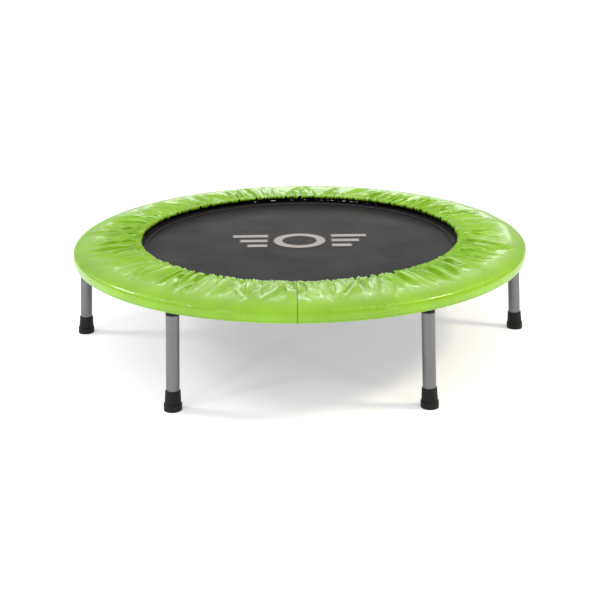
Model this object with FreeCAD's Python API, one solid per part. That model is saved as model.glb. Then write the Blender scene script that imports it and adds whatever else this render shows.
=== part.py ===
import FreeCAD, Part
import math
import os

# A round mini trampoline: a tubular ring on six screw-in legs, a woven mat hung from it on
# springs, and a padded cover over the springs. Millimetres, +Z up, origin on the floor under
# the centre of the mat. The first leg stands on +X.

# Driving dimensions
RING_RADIUS = 460.5       # centreline of the ring tube
RING_HEIGHT = 204.0       # centreline of the ring tube above the floor
TUBE_RADIUS = 12.5        # ring and legs are the same 25 mm tube
RING_WALL = 1.5
LEG_WALL = 1.2
LEG_COUNT = 6
LEG_SPLAY = 4.0           # degrees outwards from vertical
SPRING_COUNT = 36
SPRING_GROUPS = 6
GAP = 0.3                 # clearance between curved faces that move apart

# Leg fixing: distances along the leg axis, measured down from the ring centreline
STUD_RADIUS = 5.0         # M10
THREAD_PITCH = 1.5
THREAD_DEPTH = 0.6
THREAD_CLEARANCE = 0.05
STUD_TOP = 8.0
SPACER_EARS = 9.0
SPACER_BOTTOM = 22.5
SPACER_BORE = STUD_RADIUS + 0.08
INSERT_HEIGHT = 12.0
STUD_END = SPACER_BOTTOM + INSERT_HEIGHT

# Rubber foot
FOOT_HEIGHT = 38.0
FOOT_TOP_RADIUS = 14.2
FOOT_WAIST_RADIUS = 15.4
FOOT_BASE_RADIUS = 17.0
FOOT_BAND = 13.0
FOOT_GROOVE = 1.0
FOOT_FLOOR = 6.0
FOOT_BORE = TUBE_RADIUS + 0.02
FOOT_TRIM = 1.5           # rubber below the floor plane, trimmed off flat

# Springs
WIRE_RADIUS = 1.1
COIL_RADIUS = 5.9         # mean radius of the coil and of the mat hook
COIL_PITCH = 2.32
COIL_TURNS = 19
HOOK_LEAD = 4.0           # straight wire between the mat hook and the coil
HOOK_OPENING = -60.0      # degrees, where the mat hook's free end stops
TAIL_BEND = 3.4           # bend radius of the end that hooks into the ring tube
TAIL_DROP = 3.6
SPRING_HOLE_RADIUS = 2.5

# V-rings between the mat and the springs
VRING_WIRE = 1.5
VRING_BASE = 362.0        # distance of the straight side from the centre
VRING_HALF_WIDTH = 15.0
VRING_POINT = 383.5       # where the two sloping sides would meet
VRING_BEND = 4.0

# Jumping mat and its webbing
MAT_RADIUS = 357.5
MAT_THICKNESS = 1.2
WEBBING_INNER = 317.0
WEBBING_SLOT = MAT_RADIUS + 0.5
WEBBING_LAYER = 1.4
WEBBING_NOSE = 3.2
VRING_TUNNEL = VRING_WIRE + 0.05

# Padded cover
SKIN = 0.8
SKIN_GAP = 0.1
FOAM_WRAP_INNER = TUBE_RADIUS + GAP
FOAM_WRAP_OUTER = 18.5
FOAM_UNDERSIDE = 214.6
FOAM_INNER = 344.5
FOAM_BOTTOM = 198.0
LINING_THICKNESS = 0.6
LINING_OUTER = 446.0
HEM_RADIUS = 341.2        # the inner elastic runs here
ELASTIC_RADIUS = 2.0
SKIRT_BOTTOM = 190.0
SKIRT_DRAW_IN = 2.3
BAND_BOTTOM = 190.5
BAND_HEIGHT = 7.0
BAND_THICKNESS = 1.0

Z_AXIS = FreeCAD.Vector(0, 0, 1)
Y_AXIS = FreeCAD.Vector(0, 1, 0)
ORIGIN = FreeCAD.Vector(0, 0, 0)
RING_CENTRE = FreeCAD.Vector(RING_RADIUS, 0, RING_HEIGHT)
SHARE = 360 / LEG_COUNT   # degrees of the ring for each leg


def point(radius, height, across=0.0):
    """A point in the plane y = across, given by its radius and height."""
    return FreeCAD.Vector(radius, across, height)


def line(start, end):
    return Part.LineSegment(start, end).toShape()


def arc(start, middle, end):
    return Part.Arc(start, middle, end).toShape()


def around(centre, radius, degrees):
    """The point at an angle round a centre, in the radial plane."""
    angle = math.radians(degrees)
    return centre + FreeCAD.Vector(radius * math.cos(angle), 0, radius * math.sin(angle))


def revolve(edges, centre=ORIGIN, axis=Z_AXIS):
    """A solid from a closed outline turned once round an axis."""
    face = Part.Face(Part.Wire(edges))
    return Part.Solid(Part.Shell(face.revolve(centre, axis, 360).Faces))


def polygon(points):
    return Part.makePolygon(points + points[:1]).Edges


def wire_rod(path_edges, radius):
    """Round wire of a radius along a path that starts at its first edge."""
    path = Part.Wire(path_edges)
    first = path_edges[0]
    start = first.valueAt(first.FirstParameter)
    direction = first.tangentAt(first.FirstParameter)
    section = Part.Wire([Part.Circle(start, direction, radius).toShape()])
    return path.makePipeShell([section], True, False)


def turned(shape, degrees):
    copy = shape.copy()
    copy.rotate(ORIGIN, Z_AXIS, degrees)
    return copy


def leg_frame(shape, degrees):
    """Move a shape from its own axis (ring centreline at z = 0, leg downwards) to a leg."""
    copy = shape.copy()
    copy.rotate(ORIGIN, Y_AXIS, -LEG_SPLAY)
    copy.translate(RING_CENTRE)
    copy.rotate(ORIGIN, Z_AXIS, degrees)
    return copy


def arc_piece(face):
    """One leg's share of a ring, from its section in the plane y = 0."""
    return turned(face, -SHARE / 2).revolve(ORIGIN, Z_AXIS, SHARE)


def all_round(shape):
    """One leg's share of a ring, repeated end to end."""
    return Part.Compound([turned(shape, SHARE * index) for index in range(LEG_COUNT)])


def export(shape, name):
    shape.exportStep(os.path.join("parts", name + ".step"))


# Ring and legs

def ring_tube():
    """The hollow ring: six arcs welded end to end, with holes for the spring ends and leg studs."""
    centre = point(RING_RADIUS, RING_HEIGHT)
    outside = Part.Face(Part.Wire([Part.Circle(centre, Y_AXIS, TUBE_RADIUS).toShape()]))
    inside = Part.Face(Part.Wire([Part.Circle(centre, Y_AXIS, TUBE_RADIUS - RING_WALL).toShape()]))

    hole_start = point(RING_RADIUS - 1.5 * TUBE_RADIUS, RING_HEIGHT)
    hole = Part.makeCylinder(SPRING_HOLE_RADIUS, TUBE_RADIUS, hole_start, FreeCAD.Vector(1, 0, 0))
    stud_hole_radius = STUD_RADIUS + THREAD_CLEARANCE
    stud_hole = Part.makeCylinder(stud_hole_radius, TUBE_RADIUS, point(0, -1.4 * TUBE_RADIUS))
    step = 360 / SPRING_COUNT
    holes = [turned(hole, step * (index + 0.5) - SHARE / 2) for index in range(SPRING_COUNT // LEG_COUNT)]
    drilled = arc_piece(outside.cut(inside)).cut(holes + [leg_frame(stud_hole, 0)])
    return all_round(drilled.Solids[0])


def leg_stud():
    """Threaded stud, its thread drawn as rings."""
    top = -STUD_TOP
    thread_top = -SPACER_BOTTOM + THREAD_PITCH
    outline = [point(0, top), point(STUD_RADIUS, top), point(STUD_RADIUS, thread_top)]
    height = thread_top
    while height - THREAD_PITCH > -STUD_END:
        outline.append(point(STUD_RADIUS - THREAD_DEPTH, height - THREAD_PITCH / 2))
        height -= THREAD_PITCH
        outline.append(point(STUD_RADIUS, height))
    outline += [point(STUD_RADIUS - THREAD_DEPTH, -STUD_END), point(0, -STUD_END)]
    return revolve(polygon(outline))


def leg_spacer():
    """Plastic saddle between the leg and the underside of the ring tube."""
    height = SPACER_BOTTOM - SPACER_EARS
    block = Part.makeCylinder(TUBE_RADIUS, height, point(0, -SPACER_BOTTOM))
    bore = Part.makeCylinder(SPACER_BORE, SPACER_BOTTOM, point(0, -SPACER_BOTTOM))
    placed = leg_frame(block.cut(bore), 0)
    return placed.cut(Part.makeTorus(RING_RADIUS, TUBE_RADIUS + GAP, point(0, RING_HEIGHT)))


def floor_distance():
    """Distance along the leg axis from the ring centreline to the floor."""
    return RING_HEIGHT / math.cos(math.radians(LEG_SPLAY))


def leg_tube():
    length = floor_distance() - FOOT_FLOOR - SPACER_BOTTOM
    bottom = point(0, -SPACER_BOTTOM - length)
    return Part.makeCylinder(TUBE_RADIUS, length, bottom).cut(
        Part.makeCylinder(TUBE_RADIUS - LEG_WALL, length, bottom))


def leg_insert():
    """Threaded plug fixed in the top of the leg tube; the stud turns in it."""
    bottom = point(0, -STUD_END)
    return Part.makeCylinder(TUBE_RADIUS - LEG_WALL, INSERT_HEIGHT, bottom).cut(
        Part.makeCylinder(STUD_RADIUS + THREAD_CLEARANCE, INSERT_HEIGHT, bottom))


def foot():
    """Rubber cap pushed over the leg tube, with a wider base that stands flat on the floor."""
    floor = -floor_distance()
    bottom = floor - FOOT_TRIM
    band = floor + FOOT_BAND
    top = floor + FOOT_HEIGHT
    seat = floor + FOOT_FLOOR
    outline = [
        point(0, bottom),
        point(FOOT_BASE_RADIUS, bottom),
        point(FOOT_BASE_RADIUS, band - FOOT_GROOVE),
        point(FOOT_WAIST_RADIUS, band),
        point(FOOT_TOP_RADIUS, top - FOOT_GROOVE),
        point(FOOT_TOP_RADIUS - FOOT_GROOVE / 2, top),
        point(FOOT_BORE, top),
        point(FOOT_BORE, seat),
        point(0, seat),
    ]
    placed = leg_frame(revolve(polygon(outline)), 0)
    side = 4 * FOOT_BASE_RADIUS
    below = Part.makeBox(side, side, side, point(RING_RADIUS - side / 2, -side, -side / 2))
    return placed.cut(below)


# Springs, V-rings and mat

def rounded_loop(corners, bend):
    """Edges of a closed horizontal loop with its corners bent to a radius."""
    count = len(corners)
    starts = []
    arcs = []
    for index, corner in enumerate(corners):
        before = (corners[index - 1] - corner).normalize()
        after = (corners[(index + 1) % count] - corner).normalize()
        half = before.getAngle(after) / 2
        reach = bend / math.tan(half)
        inwards = (before + after).normalize()
        middle = corner + inwards * (bend / math.sin(half) - bend)
        starts.append(corner + before * reach)
        arcs.append(arc(starts[-1], middle, corner + after * reach))
    edges = []
    for index, bent in enumerate(arcs):
        edges.append(bent)
        edges.append(line(bent.valueAt(bent.LastParameter), starts[(index + 1) % count]))
    return edges


def v_ring(radius):
    """Triangular wire ring with its point outwards."""
    corners = [
        point(VRING_BASE, RING_HEIGHT, VRING_HALF_WIDTH),
        point(VRING_BASE, RING_HEIGHT, -VRING_HALF_WIDTH),
        point(VRING_POINT, RING_HEIGHT),
    ]
    return wire_rod(rounded_loop(corners, VRING_BEND), radius)


def v_ring_bend_centre():
    half = math.atan(VRING_HALF_WIDTH / (VRING_POINT - VRING_BASE))
    return VRING_POINT - VRING_BEND / math.sin(half)


def spring():
    """Close-wound spring: open hook over a V-ring, coil as rings, bent end in the ring tube."""
    seat = v_ring_bend_centre() + VRING_BEND - VRING_WIRE - WIRE_RADIUS - GAP
    hook_centre = point(seat + COIL_RADIUS, RING_HEIGHT)
    coil_start = hook_centre.x + HOOK_LEAD
    coil_end = coil_start + COIL_PITCH * COIL_TURNS

    hook_top = around(hook_centre, COIL_RADIUS, 90)
    into_coil = FreeCAD.Vector(HOOK_LEAD + WIRE_RADIUS, 0, 0)
    hook_middle = around(hook_centre, COIL_RADIUS, (HOOK_OPENING - 270) / 2)
    hook = wire_rod([
        line(hook_top + into_coil, hook_top),
        arc(hook_top, hook_middle, around(hook_centre, COIL_RADIUS, HOOK_OPENING)),
    ], WIRE_RADIUS)

    outline = [point(coil_start, RING_HEIGHT + COIL_RADIUS)]
    for turn in range(COIL_TURNS):
        middle = coil_start + (turn + 0.5) * COIL_PITCH
        outline.append(point(middle, RING_HEIGHT + COIL_RADIUS + WIRE_RADIUS))
        outline.append(point(middle + COIL_PITCH / 2, RING_HEIGHT + COIL_RADIUS))
    outline.append(point(coil_end, RING_HEIGHT + COIL_RADIUS - WIRE_RADIUS))
    outline.append(point(coil_start, RING_HEIGHT + COIL_RADIUS - WIRE_RADIUS))
    coil = revolve(polygon(outline), point(0, RING_HEIGHT), FreeCAD.Vector(1, 0, 0))

    turn_in = COIL_RADIUS / 2
    leave = point(coil_end, RING_HEIGHT + COIL_RADIUS)
    first_centre = leave - point(0, turn_in)
    second_centre = first_centre + point(2 * turn_in, 0)
    on_axis = around(second_centre, turn_in, 270)
    wall = point(RING_RADIUS - TUBE_RADIUS + RING_WALL, RING_HEIGHT)
    bend_centre = wall + point(WIRE_RADIUS / 2, -TAIL_BEND)
    bent = around(bend_centre, TAIL_BEND, 0)
    tail = wire_rod([
        line(leave - point(WIRE_RADIUS, 0), leave),
        arc(leave, around(first_centre, turn_in, 45), around(first_centre, turn_in, 0)),
        arc(around(second_centre, turn_in, 180), around(second_centre, turn_in, 225), on_axis),
        line(on_axis, around(bend_centre, TAIL_BEND, 90)),
        arc(around(bend_centre, TAIL_BEND, 90), around(bend_centre, TAIL_BEND, 45), bent),
        line(bent, bent - point(0, TAIL_DROP)),
    ], WIRE_RADIUS)
    return coil.fuse([hook, tail]).removeSplitter()


def mat():
    return Part.makeCylinder(MAT_RADIUS, MAT_THICKNESS, point(0, RING_HEIGHT - MAT_THICKNESS / 2))


def mat_webbing(spring_angles):
    """Folded band round the mat's edge, with a tunnel for each V-ring."""
    slot = MAT_THICKNESS / 2
    face = slot + WEBBING_LAYER
    nose = point(VRING_BASE, RING_HEIGHT)
    shoulder = math.degrees(math.asin(face / WEBBING_NOSE))
    upper = around(nose, WEBBING_NOSE, 180 - shoulder)
    lower = around(nose, WEBBING_NOSE, 180 + shoulder)
    outline = [
        line(point(WEBBING_INNER, RING_HEIGHT + slot), point(WEBBING_INNER, RING_HEIGHT + face)),
        line(point(WEBBING_INNER, RING_HEIGHT + face), upper),
        arc(upper, around(nose, WEBBING_NOSE, 0), lower),
        line(lower, point(WEBBING_INNER, RING_HEIGHT - face)),
        line(point(WEBBING_INNER, RING_HEIGHT - face), point(WEBBING_INNER, RING_HEIGHT - slot)),
        line(point(WEBBING_INNER, RING_HEIGHT - slot), point(WEBBING_SLOT, RING_HEIGHT - slot)),
        line(point(WEBBING_SLOT, RING_HEIGHT - slot), point(WEBBING_SLOT, RING_HEIGHT + slot)),
        line(point(WEBBING_SLOT, RING_HEIGHT + slot), point(WEBBING_INNER, RING_HEIGHT + slot)),
    ]
    tunnel = v_ring(VRING_TUNNEL)
    return revolve(outline).cut([turned(tunnel, angle) for angle in spring_angles])


# Padded cover

def foam_split():
    """Where the flat foam meets the foam round the tube: on the foam's underside."""
    over_springs = math.degrees(math.asin((FOAM_UNDERSIDE - RING_HEIGHT) / FOAM_WRAP_INNER))
    return 180 - over_springs


def foam_pad():
    """Flat foam over the springs, in six arcs."""
    outer = around(RING_CENTRE, FOAM_WRAP_INNER, foam_split()).x
    top = RING_HEIGHT + FOAM_WRAP_OUTER
    corners = [(FOAM_INNER, FOAM_UNDERSIDE), (outer, FOAM_UNDERSIDE), (outer, top), (FOAM_INNER, top)]
    section = polygon([point(radius, height) for radius, height in corners])
    return all_round(arc_piece(Part.Face(Part.Wire(section))))


def foam_roll():
    """Foam over the top and outside of the ring tube, in six arcs."""
    start = around(RING_CENTRE, FOAM_WRAP_INNER, foam_split())
    inner_end = around(RING_CENTRE, FOAM_WRAP_INNER, 0)
    outer_start = around(RING_CENTRE, FOAM_WRAP_OUTER, 0)
    outer_end = around(RING_CENTRE, FOAM_WRAP_OUTER, 90)
    inner_low = point(inner_end.x, FOAM_BOTTOM)
    outer_low = point(outer_start.x, FOAM_BOTTOM)
    top_start = point(start.x, outer_end.z)
    section = Part.Wire([
        arc(start, around(RING_CENTRE, FOAM_WRAP_INNER, foam_split() / 2), inner_end),
        line(inner_end, inner_low),
        line(inner_low, outer_low),
        line(outer_low, outer_start),
        arc(outer_start, around(RING_CENTRE, FOAM_WRAP_OUTER, 45), outer_end),
        line(outer_end, top_start),
        line(top_start, start),
    ])
    return all_round(arc_piece(Part.Face(section)))


def hem_centre():
    top_of_foam = RING_HEIGHT + FOAM_WRAP_OUTER
    return point(HEM_RADIUS, top_of_foam - ELASTIC_RADIUS)


def cover_top():
    """The coated skin: folded round the inner elastic, over the foam and down as a skirt."""
    hem = hem_centre()
    hem_inner = ELASTIC_RADIUS + SKIN_GAP
    hem_outer = hem_inner + SKIN
    wrap_inner = FOAM_WRAP_OUTER + SKIN_GAP
    wrap_outer = wrap_inner + SKIN
    side_inner = around(RING_CENTRE, wrap_inner, 0)
    side_outer = around(RING_CENTRE, wrap_outer, 0)
    draw_in = point(SKIRT_DRAW_IN, 0)
    skirt_inner = point(side_inner.x, FOAM_BOTTOM)
    skirt_outer = point(side_outer.x, FOAM_BOTTOM)
    low_inner = point(side_inner.x, SKIRT_BOTTOM) - draw_in
    low_outer = point(side_outer.x, SKIRT_BOTTOM) - draw_in
    return revolve([
        line(around(hem, hem_inner, 90), around(RING_CENTRE, wrap_inner, 90)),
        arc(around(RING_CENTRE, wrap_inner, 90), around(RING_CENTRE, wrap_inner, 45), side_inner),
        line(side_inner, skirt_inner),
        line(skirt_inner, low_inner),
        line(low_inner, low_outer),
        line(low_outer, skirt_outer),
        line(skirt_outer, side_outer),
        arc(side_outer, around(RING_CENTRE, wrap_outer, 45), around(RING_CENTRE, wrap_outer, 90)),
        line(around(RING_CENTRE, wrap_outer, 90), around(hem, hem_outer, 90)),
        arc(around(hem, hem_outer, 90), around(hem, hem_outer, 180), around(hem, hem_outer, 270)),
        line(around(hem, hem_outer, 270), around(hem, hem_inner, 270)),
        arc(around(hem, hem_inner, 270), around(hem, hem_inner, 180), around(hem, hem_inner, 90)),
    ])


def flat_ring(inner, outer, bottom, height):
    low = point(0, bottom)
    return Part.makeCylinder(outer, height, low).cut(Part.makeCylinder(inner, height, low))


def cover_lining():
    """Thin backing under the foam, between the hem and the ring tube."""
    return flat_ring(FOAM_INNER, LINING_OUTER, FOAM_UNDERSIDE - LINING_THICKNESS, LINING_THICKNESS)


def hem_elastic():
    return Part.makeTorus(HEM_RADIUS, ELASTIC_RADIUS, point(0, hem_centre().z))


def skirt_elastic():
    """Flat elastic sewn inside the skirt's lower edge."""
    outer = RING_RADIUS + FOAM_WRAP_OUTER + SKIN_GAP - SKIRT_DRAW_IN
    return flat_ring(outer - BAND_THICKNESS, outer, BAND_BOTTOM, BAND_HEIGHT)


def main():
    os.makedirs("parts", exist_ok=True)
    leg_angles = [360 / LEG_COUNT * index for index in range(LEG_COUNT)]
    spring_step = 360 / SPRING_COUNT
    spring_angles = [spring_step * (index + 0.5) for index in range(SPRING_COUNT)]

    export(ring_tube(), "ring_tube")
    export(mat(), "mat")
    export(mat_webbing(spring_angles), "mat_webbing")
    export(foam_pad(), "foam_pad")
    export(foam_roll(), "foam_roll")
    export(cover_top(), "cover_top")
    export(cover_lining(), "cover_lining")
    export(hem_elastic(), "hem_elastic")
    export(skirt_elastic(), "skirt_elastic")

    own_axis_pieces = {"leg_stud": leg_stud(), "leg_tube": leg_tube(), "leg_insert": leg_insert()}
    placed_pieces = {"leg_spacer": leg_spacer(), "foot": foot()}
    for index, angle in enumerate(leg_angles, start=1):
        for name, shape in own_axis_pieces.items():
            export(leg_frame(shape, angle), f"{name}_{index}")
        for name, shape in placed_pieces.items():
            export(turned(shape, angle), f"{name}_{index}")

    per_group = SPRING_COUNT // SPRING_GROUPS
    one_spring = spring()
    one_v_ring = v_ring(VRING_WIRE)
    for group in range(SPRING_GROUPS):
        angles = spring_angles[group * per_group:(group + 1) * per_group]
        export(Part.Compound([turned(one_spring, angle) for angle in angles]), f"springs_{group + 1}")
        export(Part.Compound([turned(one_v_ring, angle) for angle in angles]), f"v_rings_{group + 1}")


main()
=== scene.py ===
import math

import bpy
import numpy as np
from bpy.props import FloatProperty, FloatVectorProperty, IntProperty, PointerProperty
from mathutils import Matrix, Vector


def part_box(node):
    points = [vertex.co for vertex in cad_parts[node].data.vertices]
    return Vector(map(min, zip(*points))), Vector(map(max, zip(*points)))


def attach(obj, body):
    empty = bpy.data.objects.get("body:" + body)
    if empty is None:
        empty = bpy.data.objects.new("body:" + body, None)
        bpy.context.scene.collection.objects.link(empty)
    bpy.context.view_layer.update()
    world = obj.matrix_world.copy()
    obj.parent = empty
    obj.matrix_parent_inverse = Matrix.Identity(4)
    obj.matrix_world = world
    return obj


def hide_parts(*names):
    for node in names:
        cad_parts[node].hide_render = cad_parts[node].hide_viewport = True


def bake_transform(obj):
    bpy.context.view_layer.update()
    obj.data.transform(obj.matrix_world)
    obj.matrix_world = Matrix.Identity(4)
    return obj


bl_info = {
    "name": "Mini trampoline",
    "version": (1, 0, 0),
    "blender": (4, 5, 0),
    "location": "View3D > Sidebar > Trampoline",
    "description": "Soft parts, springs and finishes of a round mini trampoline on its frame",
    "category": "Object",
}

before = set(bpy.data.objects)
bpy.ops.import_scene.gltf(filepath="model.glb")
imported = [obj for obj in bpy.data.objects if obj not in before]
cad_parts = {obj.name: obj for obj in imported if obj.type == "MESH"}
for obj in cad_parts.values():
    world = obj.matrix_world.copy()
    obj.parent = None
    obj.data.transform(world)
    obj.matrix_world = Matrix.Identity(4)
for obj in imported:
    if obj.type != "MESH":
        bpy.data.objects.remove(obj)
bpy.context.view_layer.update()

TURN = 2 * math.pi


# Sizes read from the frame, in metres

def outer_radius(node):
    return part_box(node)[1].x


def height_range(node):
    low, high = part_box(node)
    return low.z, high.z


def middle_height(node):
    low, high = height_range(node)
    return (low + high) / 2


TUBE_RADIUS = (height_range("ring_tube")[1] - height_range("ring_tube")[0]) / 2
RING_RADIUS = outer_radius("ring_tube") - TUBE_RADIUS
RING_HEIGHT = middle_height("ring_tube")
ELASTIC_RADIUS = (height_range("hem_elastic")[1] - height_range("hem_elastic")[0]) / 2
HEM_RADIUS = outer_radius("hem_elastic") - ELASTIC_RADIUS
HEM_HEIGHT = middle_height("hem_elastic")
COVER_RADIUS = outer_radius("cover_top")
COVER_BOTTOM, COVER_TOP = height_range("cover_top")
FOAM_BOTTOM, FOAM_TOP = height_range("foam_roll")
BACKING_LOW, BACKING_HIGH = height_range("cover_lining")
BACKING_RADIUS = outer_radius("cover_lining")
BAND_RADIUS = outer_radius("skirt_elastic")
BAND_TOP = height_range("skirt_elastic")[1]
MAT_RADIUS = outer_radius("mat")
MAT_LOW, MAT_HIGH = height_range("mat")
WEBBING_RADIUS = outer_radius("mat_webbing")


class CoverSizes(bpy.types.PropertyGroup):
    """Sizes of the gathered vinyl cover."""

    skin: FloatProperty(name="Skin", description="Thickness of the vinyl", default=0.0008, unit="LENGTH")
    columns: IntProperty(name="Columns", description="Mesh columns round the cover", default=1500)
    long_folds: IntProperty(name="Long folds", description="Gathers that reach the ring", default=112)
    short_folds: IntProperty(name="Short folds", description="Gathers that die out on the way", default=190)
    fine_folds: IntProperty(name="Fine folds", description="Small pleats at the hem", default=460)
    fold_height: FloatProperty(name="Fold height", description="Height of a long gather",
                               default=0.0058, unit="LENGTH")
    seams: IntProperty(name="Seams", description="Panels that the strip is sewn from", default=4)
    seam_turn: FloatProperty(name="Seam turn", description="Where the first seam lies",
                             default=math.radians(-0.6), subtype="ANGLE")
    casing: FloatProperty(name="Casing", description="Width of the hem round the elastic",
                          default=0.011, unit="LENGTH")
    dome: FloatProperty(name="Dome", description="Rise of the padding between hem and ring",
                        default=0.0012, unit="LENGTH")
    seed: IntProperty(name="Seed", description="Chooses the pattern of gathers", default=11)


class MatSizes(bpy.types.PropertyGroup):
    """Sizes of the jumping mat, its band and its print."""

    band_width: FloatProperty(name="Band width", description="Webbing on top of the mat",
                              default=0.040, unit="LENGTH")
    band_layer: FloatProperty(name="Band layer", description="Thickness of one layer",
                              default=0.0014, unit="LENGTH")
    stitch: FloatProperty(name="Stitch", description="Length of one stitch", default=0.0042, unit="LENGTH")
    thread: FloatProperty(name="Thread", description="Radius of the thread", default=0.0004, unit="LENGTH")
    print_width: FloatProperty(name="Print width", description="Width of the mark",
                               default=0.29, unit="LENGTH")


class SpringSizes(bpy.types.PropertyGroup):
    """Sizes of the springs."""

    count: IntProperty(name="Springs", description="Springs round the mat", default=36)
    wire: FloatProperty(name="Wire", description="Radius of the wire", default=0.0011, unit="LENGTH")
    coil: FloatProperty(name="Coil", description="Mean radius of the coil", default=0.0059, unit="LENGTH")
    pitch: FloatProperty(name="Pitch", description="Length of one turn", default=0.00232, unit="LENGTH")
    turns: IntProperty(name="Turns", description="Turns of the coil", default=19)
    seat: FloatProperty(name="Seat", description="Hook wire's distance from the centre",
                        default=0.3776, unit="LENGTH")
    lead: FloatProperty(name="Lead", description="Straight wire after the hook", default=0.004, unit="LENGTH")
    tail_bend: FloatProperty(name="Tail bend", description="Bend in the ring tube",
                             default=0.0034, unit="LENGTH")
    tail_drop: FloatProperty(name="Tail drop", description="Straight end of the wire",
                             default=0.0036, unit="LENGTH")


class StageSettings(bpy.types.PropertyGroup):
    """Camera."""

    distance: FloatProperty(name="Distance", description="Camera from its target",
                            default=2.311, unit="LENGTH")
    target: FloatProperty(name="Target", description="Height the camera looks at",
                          default=0.110, unit="LENGTH")
    elevation: FloatProperty(name="Elevation", description="Camera above the horizon",
                             default=math.radians(18.1), subtype="ANGLE")
    roll: FloatProperty(name="Roll", description="Tilt of the horizon",
                        default=math.radians(-0.64), subtype="ANGLE")
    lens: FloatProperty(name="Lens", description="Focal length in mm", default=63.4)
    shift: FloatProperty(name="Shift", description="Vertical shift of the view", default=-0.0297)


class Colours(bpy.types.PropertyGroup):
    """Colours of the finishes."""

    vinyl: FloatVectorProperty(name="Vinyl", description="Cover", subtype="COLOR",
                               default=(0.235, 0.495, 0.003))
    mat: FloatVectorProperty(name="Mat", description="Woven mat", subtype="COLOR",
                             default=(0.0115, 0.0115, 0.0117))
    webbing: FloatVectorProperty(name="Webbing", description="Band round the mat", subtype="COLOR",
                                 default=(0.0055, 0.0055, 0.006))
    ink: FloatVectorProperty(name="Ink", description="Printed mark", subtype="COLOR",
                             default=(0.37, 0.333, 0.312))
    steel: FloatVectorProperty(name="Steel", description="Legs and ring", subtype="COLOR",
                               default=(0.18, 0.182, 0.192))
    zinc: FloatVectorProperty(name="Zinc", description="Springs and studs", subtype="COLOR",
                              default=(0.50, 0.51, 0.53))
    black: FloatVectorProperty(name="Black", description="Rubber and plastic", subtype="COLOR",
                               default=(0.0042, 0.0042, 0.0045))


# Materials

def new_material(name):
    material = bpy.data.materials.new(name)
    material.use_nodes = True
    tree = material.node_tree
    return material, tree, tree.nodes["Principled BSDF"]


def node(tree, kind, **values):
    made = tree.nodes.new(kind)
    for name, value in values.items():
        if name in made.inputs:
            made.inputs[name].default_value = value
        else:
            setattr(made, name, value)
    return made


def surface_coordinates(tree, source="Object", scale=(1, 1, 1)):
    """Coordinates on the piece, scaled along each axis."""
    if source == "Object":
        start = node(tree, "ShaderNodeTexCoord").outputs["Object"]
    else:
        start = node(tree, "ShaderNodeUVMap", uv_map=source).outputs["UV"]
    mapping = node(tree, "ShaderNodeMapping", Scale=scale)
    tree.links.new(start, mapping.inputs["Vector"])
    return mapping.outputs["Vector"]


def noise(tree, vector, scale, detail=4.0, roughness=0.55):
    made = node(tree, "ShaderNodeTexNoise", Scale=scale, Detail=detail, Roughness=roughness)
    tree.links.new(vector, made.inputs["Vector"])
    return made.outputs["Fac"]


def spread(tree, value, low, high, source=(0.3, 0.7)):
    """Maps a texture's middle range to a range of values."""
    made = node(tree, "ShaderNodeMapRange")
    made.inputs["From Min"].default_value, made.inputs["From Max"].default_value = source
    made.inputs["To Min"].default_value, made.inputs["To Max"].default_value = low, high
    tree.links.new(value, made.inputs["Value"])
    return made.outputs["Result"]


def between(tree, value, first, second):
    """A colour that runs from one to another with a value."""
    made = node(tree, "ShaderNodeMix", data_type="RGBA")
    made.inputs["A"].default_value = (*first, 1)
    made.inputs["B"].default_value = (*second, 1)
    tree.links.new(value, made.inputs["Factor"])
    return made.outputs["Result"]


def maths(tree, operation, first, second):
    made = node(tree, "ShaderNodeMath", operation=operation)
    for socket, value in zip(made.inputs, (first, second)):
        if isinstance(value, (int, float)):
            socket.default_value = value
        else:
            tree.links.new(value, socket)
    return made.outputs[0]


def add_bump(tree, shader, height, distance, strength=1.0):
    bump = node(tree, "ShaderNodeBump", Distance=distance, Strength=strength)
    tree.links.new(height, bump.inputs["Height"])
    before = shader.inputs["Normal"].links
    if before:
        tree.links.new(before[0].from_socket, bump.inputs["Normal"])
    tree.links.new(bump.outputs["Normal"], shader.inputs["Normal"])


def shade(colour, factor):
    return tuple(min(1.0, channel * factor) for channel in colour)


def line_mask(tree, coordinate, place, half_width):
    """1 on a narrow line where a coordinate passes a place, and 0 away from it."""
    distance = maths(tree, "ABSOLUTE", maths(tree, "SUBTRACT", coordinate, place), 0)
    return spread(tree, distance, 1, 0, (half_width * 0.5, half_width))


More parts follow.
